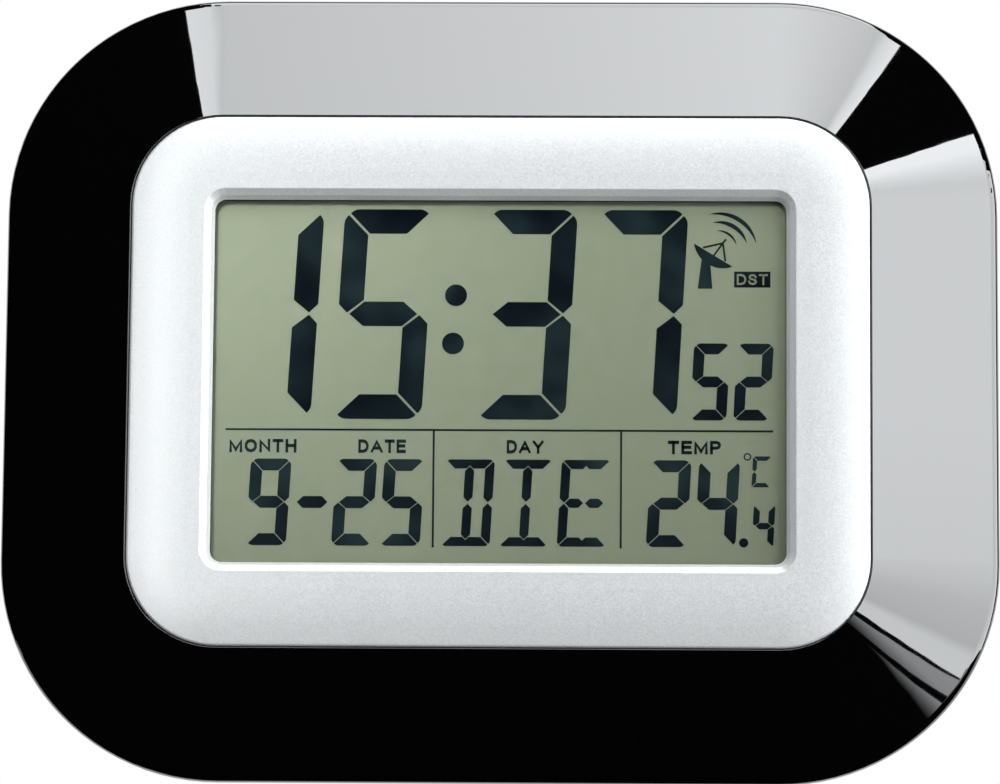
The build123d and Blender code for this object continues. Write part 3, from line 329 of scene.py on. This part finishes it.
def moulded(name, color, swing, grain, roughness, relief, metallic=0.0):
    """Moulded, cast or plated surface with a fine grain in its colour, gloss and relief."""
    material, tree, shader = new_material(name)
    fine = noise(tree, grain, 3.0)
    broad = noise(tree, grain * drift_grains, 2.0)
    tree.links.new(ramp(tree, broad, shades(color, swing)), shader.inputs["Base Color"])
    gloss = spread(tree, fine, roughness - roughness_swing, roughness + roughness_swing)
    tree.links.new(gloss, shader.inputs["Roughness"])
    shader.inputs["Metallic"].default_value = metallic
    add_bump(tree, shader, fine, relief)
    return material


def piano_black():
    """Polished black lacquer with the faint waviness of a moulded face."""
    material, tree, shader = new_material("piano_black")
    broad = noise(tree, 24 * MM, 1.0)
    fine = noise(tree, 2 * MM, 2.0)
    tree.links.new(ramp(tree, fine, lacquer_shades), shader.inputs["Base Color"])
    tree.links.new(spread(tree, fine, 0.02, 0.03), shader.inputs["Roughness"])
    shader.inputs["IOR"].default_value = lacquer_index
    shader.inputs["Coat Weight"].default_value = 1.0
    shader.inputs["Coat Roughness"].default_value = 0.02
    shader.inputs["Coat IOR"].default_value = lacquer_index
    add_bump(tree, shader, broad, 0.04 * MM)
    return material


def silver_paint():
    """Satin silver paint with fine flakes."""
    material, tree, shader = new_material("silver_paint")
    flakes = tree.nodes.new("ShaderNodeTexVoronoi")
    flakes.inputs["Scale"].default_value = 1.0 / flake_size
    tree.links.new(object_point(tree), flakes.inputs["Vector"])
    split = tree.nodes.new("ShaderNodeSeparateColor")
    tree.links.new(flakes.outputs["Color"], split.inputs["Color"])
    flake = split.outputs["Red"]
    tree.links.new(ramp(tree, flake, silver_shades), shader.inputs["Base Color"])
    tree.links.new(spread(tree, flake, 0.36, 0.5, 0.0, 1.0), shader.inputs["Roughness"])
    shader.inputs["Metallic"].default_value = 0.3
    add_bump(tree, shader, flake, 0.004 * MM, 0.5)
    return material


def clear_sheet(name, tint, gloss_roughness, index):
    """Clear sheet: light goes straight through, and the outer side reflects as its index says."""
    material, tree, shader = new_material(name)
    tree.nodes.remove(shader)
    through = tree.nodes.new("ShaderNodeBsdfTransparent")
    through.inputs["Color"].default_value = (*tint, 1.0)
    gloss = tree.nodes.new("ShaderNodeBsdfGlossy")
    haze = spread(tree, noise(tree, 4 * MM), 0.8 * gloss_roughness, 1.2 * gloss_roughness)
    tree.links.new(haze, gloss.inputs["Roughness"])
    fresnel = tree.nodes.new("ShaderNodeFresnel")
    fresnel.inputs["IOR"].default_value = index
    inside = tree.nodes.new("ShaderNodeNewGeometry").outputs["Backfacing"]
    outside = math_node(tree, "SUBTRACT", 1.0, inside)
    share = math_node(tree, "MULTIPLY", fresnel.outputs["Fac"], outside)
    mix = tree.nodes.new("ShaderNodeMixShader")
    tree.links.new(share, mix.inputs["Fac"])
    tree.links.new(through.outputs["BSDF"], mix.inputs[1])
    tree.links.new(gloss.outputs["BSDF"], mix.inputs[2])
    tree.links.new(mix.outputs["Shader"], tree.nodes["Material Output"].inputs["Surface"])
    return material


def display_ground():
    """Grey-green reflecting ground of the display, with a faint mottle and a fine grain."""
    material, tree, shader = new_material("display_ground")
    mottle = noise(tree, 5 * MM, 3.0)
    fine = noise(tree, 0.5 * MM, 2.0)
    stops = [(0.3, (0.309, 0.346, 0.239)), (0.5, (0.322, 0.353, 0.25)), (0.7, (0.334, 0.359, 0.258))]
    tree.links.new(ramp(tree, mottle, stops), shader.inputs["Base Color"])
    tree.links.new(spread(tree, fine, 0.35, 0.41), shader.inputs["Roughness"])
    shader.inputs["Metallic"].default_value = 0.6
    return material


def segment_ink():
    """Dark segments whose blue-green tint drifts from one to the next."""
    material, tree, shader = new_material("segment_ink")
    drift = noise(tree, 16 * MM, 1.0)
    fine = noise(tree, 1.5 * MM, 2.0)
    stops = [(0.3, (0.002, 0.005, 0.008)), (0.5, (0.006, 0.013, 0.017)), (0.7, (0.016, 0.031, 0.034))]
    tree.links.new(ramp(tree, drift, stops), shader.inputs["Base Color"])
    tree.links.new(spread(tree, fine, 0.55, 0.65), shader.inputs["Roughness"])
    shader.inputs["Specular IOR Level"].default_value = 0.05
    return material


def circuit_board():
    """Green solder mask with paler copper runs under it."""
    material, tree, shader = new_material("circuit_board")
    brick = tree.nodes.new("ShaderNodeTexBrick")
    brick.inputs["Color1"].default_value = (0.02, 0.14, 0.05, 1.0)
    brick.inputs["Color2"].default_value = (0.03, 0.18, 0.07, 1.0)
    brick.inputs["Mortar"].default_value = (0.05, 0.25, 0.1, 1.0)
    brick.inputs["Scale"].default_value = 1.0 / trace_pitch
    brick.inputs["Mortar Size"].default_value = 0.04
    turn = tree.nodes.new("ShaderNodeMapping")
    turn.inputs["Rotation"].default_value = (math.radians(90), 0, 0)
    tree.links.new(object_point(tree), turn.inputs["Vector"])
    tree.links.new(turn.outputs["Vector"], brick.inputs["Vector"])
    tree.links.new(brick.outputs["Color"], shader.inputs["Base Color"])
    shader.inputs["Roughness"].default_value = 0.35
    return material


def slot_materials():
    """Finished material for each material slot of the record."""
    black = (0.02, 0.02, 0.022)
    return {
        "gloss_black": piano_black(),
        "silver_paint": silver_paint(),
        "clear_plastic": clear_sheet("clear_lens", (0.985, 0.99, 0.985), 0.03, 1.3),
        "polariser": clear_sheet("polariser", (0.99, 0.995, 0.985), 0.3, 1.05),
        "display_glass": clear_sheet("display_glass", (0.99, 0.995, 0.99), 0.05, 1.03),
        "reflector_film": display_ground(),
        "display_ink": segment_ink(),
        "foam": moulded("foam", (0.015, 0.015, 0.015), 0.3, 0.4 * MM, 0.9, 0.08 * MM),
        "seal_resin": moulded("seal_resin", (0.3, 0.33, 0.27), 0.1, 0.3 * MM, 0.5, 0.01 * MM),
        "white_plastic": moulded("white_plastic", (0.75, 0.75, 0.72), 0.04, 0.3 * MM, 0.45, 0.005 * MM),
        "steel": moulded("steel", (0.55, 0.55, 0.54), 0.1, 0.15 * MM, 0.32, 0.004 * MM, 1.0),
        "rubber": moulded("rubber", (0.02, 0.02, 0.02), 0.2, 0.25 * MM, 0.75, 0.02 * MM),
        "board": circuit_board(),
        "chip": moulded("chip", (0.018, 0.018, 0.019), 0.15, 0.12 * MM, 0.55, 0.008 * MM),
        "can": moulded("can", (0.5, 0.51, 0.53), 0.08, 0.2 * MM, 0.3, 0.003 * MM, 1.0),
        "ferrite": moulded("ferrite", (0.04, 0.04, 0.045), 0.2, 0.15 * MM, 0.6, 0.01 * MM),
        "copper": moulded("copper", (0.5, 0.22, 0.1), 0.15, 0.15 * MM, 0.35, 0.01 * MM, 0.9),
        "cell_sleeve": moulded("cell_sleeve", (0.08, 0.09, 0.11), 0.08, 0.3 * MM, 0.3, 0.002 * MM),
        "red_lead": moulded("red_lead", (0.4, 0.015, 0.015), 0.1, 0.2 * MM, 0.45, 0.004 * MM),
        "black_lead": moulded("black_lead", black, 0.1, 0.2 * MM, 0.45, 0.004 * MM),
        "black_case": moulded("black_case", black, 0.12, 0.22 * MM, 0.55, 0.03 * MM),
        "key_grey": moulded("key_grey", (0.16, 0.16, 0.17), 0.08, 0.2 * MM, 0.5, 0.01 * MM),
    }


def dress_nodes(materials):
    """Gives every CAD node the finish of its slot. The rear glass carries the display's ground."""
    slots = {entry["node"]: entry["material_slot"] for entry in frame["record"]["subparts"]}
    slots["lcd_rear_glass"] = "reflector_film"
    clear = ("clear_plastic", "polariser", "display_glass")
    for name, node in frame["nodes"].items():
        node.data.materials.clear()
        node.data.materials.append(materials[slots[name]])
        node.visible_shadow = slots[name] not in clear


# Legends on the display: word, left, right, bottom and top, in millimetres from the clock's middle
legend_depth = 0.08 * MM
legends = [
    ("MONTH", -70.44, -52.86, -18.72, -15.16),
    ("DATE", -36.7, -24.27, -18.72, -15.16),
    ("DAY", 2.08, 11.68, -18.72, -15.16),
    ("TEMP", 44.08, 57.95, -18.72, -15.16),
]
plate_legend = ("DST", 62.0, 70.1, 26.1, 29.0)
letter_space_share = 0.2
stroke_share = 0.24
plate_stroke_share = 0.18
mitre_limit = 0.45

# Letters in a box one unit tall: width, then the middle line of each stroke
letter_strokes = {
    "A": (0.92, [[(0.0, 0.0), (0.46, 1.0), (0.92, 0.0)], [(0.2, 0.32), (0.72, 0.32)]]),
    "D": (0.78, [[(0.0, 0.0), (0.0, 1.0), (0.36, 1.0), (0.62, 0.9), (0.76, 0.65), (0.76, 0.35),
                  (0.62, 0.1), (0.36, 0.0), (0.0, 0.0)]]),
    "E": (0.66, [[(0.66, 1.0), (0.0, 1.0), (0.0, 0.0), (0.66, 0.0)], [(0.0, 0.53), (0.6, 0.53)]]),
    "H": (0.74, [[(0.0, 0.0), (0.0, 1.0)], [(0.74, 0.0), (0.74, 1.0)], [(0.0, 0.53), (0.74, 0.53)]]),
    "M": (0.92, [[(0.0, 0.0), (0.0, 1.0), (0.46, 0.06), (0.92, 1.0), (0.92, 0.0)]]),
    "N": (0.74, [[(0.0, 0.0), (0.0, 1.0), (0.74, 0.0), (0.74, 1.0)]]),
    "O": (0.88, [[(0.44, 1.0), (0.17, 0.91), (0.02, 0.67), (0.02, 0.33), (0.17, 0.09), (0.44, 0.0),
                  (0.71, 0.09), (0.86, 0.33), (0.86, 0.67), (0.71, 0.91), (0.44, 1.0)]]),
    "P": (0.7, [[(0.0, 0.0), (0.0, 1.0), (0.42, 1.0), (0.63, 0.91), (0.69, 0.73), (0.63, 0.54),
                 (0.42, 0.45), (0.0, 0.45)]]),
    "S": (0.7, [[(0.67, 0.76), (0.56, 0.94), (0.34, 1.0), (0.12, 0.93), (0.04, 0.76), (0.12, 0.6),
                 (0.36, 0.52), (0.6, 0.43), (0.69, 0.25), (0.6, 0.07), (0.35, 0.0), (0.1, 0.07),
                 (0.0, 0.26)]]),
    "T": (0.72, [[(0.0, 1.0), (0.72, 1.0)], [(0.36, 0.0), (0.36, 1.0)]]),
    "Y": (0.84, [[(0.0, 1.0), (0.42, 0.44), (0.84, 1.0)], [(0.42, 0.0), (0.42, 0.44)]]),
}


def stroke_outline(points, half):
    """The two sides of a stroke, left and right of its middle line, mitred at each bend."""
    lines = [Vector(point) for point in points]
    closed = lines[0] == lines[-1]
    runs = [(after - before).normalized() for before, after in zip(lines, lines[1:])]
    sides = []
    for index, point in enumerate(lines):
        before = runs[index - 1] if index > 0 or closed else runs[0]
        after = runs[index] if index < len(runs) else runs[0] if closed else runs[-1]
        if index == 0 and closed:
            before = runs[-1]
        normal = Vector((-before.y - after.y, before.x + after.x)).normalized()
        reach = half / max(mitre_limit, normal.dot(Vector((-before.y, before.x))))
        end = 0.0
        if not closed and index == 0:
            end = -half
        if not closed and index == len(lines) - 1:
            end = half
        middle = point + after * end if index else point + before * end
        sides.append((middle + normal * reach, middle - normal * reach))
    return sides


def add_word(word, left, right, bottom, top, thickness_share, front, material, slot):
    """Printed word as thin solid letters between two planes of the display."""
    size = top - bottom
    half = thickness_share / 2
    width = -letter_space_share
    placed = []
    for letter in word:
        letter_width, strokes = letter_strokes[letter]
        placed.append((width + letter_space_share + half, strokes))
        width += letter_space_share + letter_width + 2 * half
    stretch = (right - left) / width
    mesh = bmesh.new()
    for start, strokes in placed:
        for stroke in strokes:
            drawn = [(start + x, half + y * (1 - 2 * half)) for x, y in stroke]
            rows = []
            for sides in stroke_outline(drawn, half):
                row = []
                for depth in (-legend_depth / 2, legend_depth / 2):
                    for side in sides:
                        x = (left + side.x * stretch) * MM
                        z = clock_center.z + (bottom + min(max(side.y, 0.0), 1.0) * size) * MM
                        row.append(mesh.verts.new((x, front + depth, z)))
                rows.append(row)
            for first, second in zip(rows, rows[1:]):
                for a, b in ((0, 1), (1, 3), (3, 2), (2, 0)):
                    mesh.faces.new((first[a], first[b], second[b], second[a]))
            for row in (rows[0], rows[-1]):
                mesh.faces.new((row[0], row[1], row[3], row[2]))
    bmesh.ops.recalc_face_normals(mesh, faces=mesh.faces)
    data = bpy.data.meshes.new("legend_" + word.lower())
    mesh.to_mesh(data)
    mesh.free()
    data.materials.append(material)
    piece = bpy.data.objects.new("legend_" + word.lower(), data)
    bpy.context.scene.collection.objects.link(piece)
    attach(piece, "case")


def add_legends(materials):
    """Words over the date, weekday and temperature, and the pale word on its dark plate."""
    middle = (ink_low.y + ink_high.y) / 2
    for legend in legends:
        add_word(*legend, stroke_share, middle, materials["display_ink"], "display_ink")
    add_word(*plate_legend, plate_stroke_share, ink_low.y, materials["reflector_film"], "reflector_film")


set_camera()
set_world()
add_floor()
shade_lamp(add_lamp("top_box", top_box, box_radiance), X=top_box_profile)
shade_lamp(add_lamp("right_box", right_box, box_radiance), Y=right_box_profile)
add_lamp("top_wing", top_wing, wing_radiance, lighting=False)
add_lamp("right_wing", right_wing, wing_radiance, lighting=False)
add_lamp("right_fill", right_fill, fill_radiance, mirrored=False)
shade_lamp(add_lamp("lower_strip", lower_strip, strip_radiance, strip_roll), X=strip_profile)
patch = add_lamp("lower_patch", lower_patch, patch_radiance, patch_roll)
shade_lamp(patch, X=patch_width_profile, Y=patch_height_profile)
shade_lamp(add_lamp("key_lamp", key_lamp, key_radiance), Y=key_profile)
gleam_tree = add_lamp("gleam", gleam, gleam_radiance, lighting=False, receivers=gleam_nodes)
shade_lamp(gleam_tree, X=gleam_profile)
finishes = slot_materials()
dress_nodes(finishes)
add_legends(finishes)
bpy.context.scene.view_settings.view_transform = "Standard"
